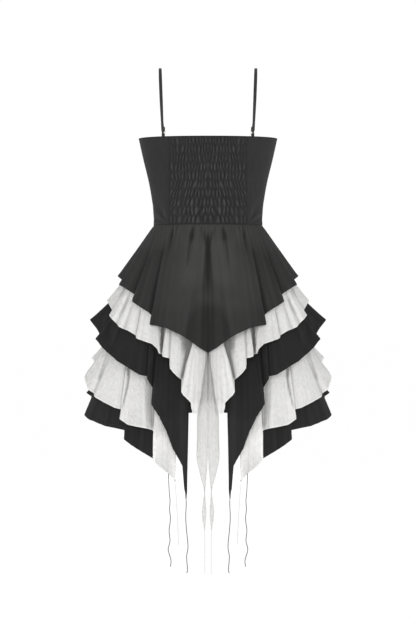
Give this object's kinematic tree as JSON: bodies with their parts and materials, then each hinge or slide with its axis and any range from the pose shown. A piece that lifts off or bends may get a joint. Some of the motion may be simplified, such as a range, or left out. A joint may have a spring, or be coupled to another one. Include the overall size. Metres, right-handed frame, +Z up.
{
  "type": "tiered slip dress",
  "caption": "Strappy dress with a fitted bodice, a shirred back panel and a tiered black and white handkerchief skirt with loose threads.",
  "frame": {"origin": "where the shoulders hold the dress: midway between the tops of its two straps", "axes": "+Z up, -Y out of the back of the dress, +Y out of its front, -X towards the wearer's left"},
  "size_m": [0.5586, 0.427, 1.1327],
  "materials": {
    "black_cotton": "matt woven cotton",
    "white_crinkled_cotton": "matt crinkled cotton",
    "silver_metal": "polished"
  },
  "bodies": {
    "root": {"black_inner_thread_left": "black_cotton", "black_inner_thread_right": "black_cotton", "black_outer_thread_left": "black_cotton", "black_outer_thread_right": "black_cotton", "bodice_back_shirred": "black_cotton", "bodice_front_centre": "black_cotton", "bodice_side_back_left": "black_cotton", "bodice_side_back_right": "black_cotton", "bodice_side_front_left": "black_cotton", "bodice_side_front_right": "black_cotton", "overskirt_back": "black_cotton", "overskirt_front": "black_cotton", "strap_left": "black_cotton", "strap_loop_left": "black_cotton", "strap_loop_right": "black_cotton", "strap_right": "black_cotton", "tier_2_back_left": "black_cotton", "tier_2_back_right": "black_cotton", "tier_2_front": "black_cotton", "tier_4_back_left": "black_cotton", "tier_4_back_right": "black_cotton", "tier_4_front": "black_cotton", "centre_tail_left": "white_crinkled_cotton", "centre_tail_right": "white_crinkled_cotton", "knot_left": "white_crinkled_cotton", "knot_right": "white_crinkled_cotton", "tier_1_back_left": "white_crinkled_cotton", "tier_1_back_right": "white_crinkled_cotton", "tier_1_front": "white_crinkled_cotton", "tier_3_back_left": "white_crinkled_cotton", "tier_3_back_right": "white_crinkled_cotton", "tier_3_front": "white_crinkled_cotton", "underskirt_back": "white_crinkled_cotton", "underskirt_front": "white_crinkled_cotton", "white_centre_thread_left": "white_crinkled_cotton", "white_centre_thread_right": "white_crinkled_cotton", "white_knotted_thread_left": "white_crinkled_cotton", "white_knotted_thread_right": "white_crinkled_cotton", "strap_ring_left": "silver_metal", "strap_ring_right": "silver_metal"}
  },
  "joints": []
}
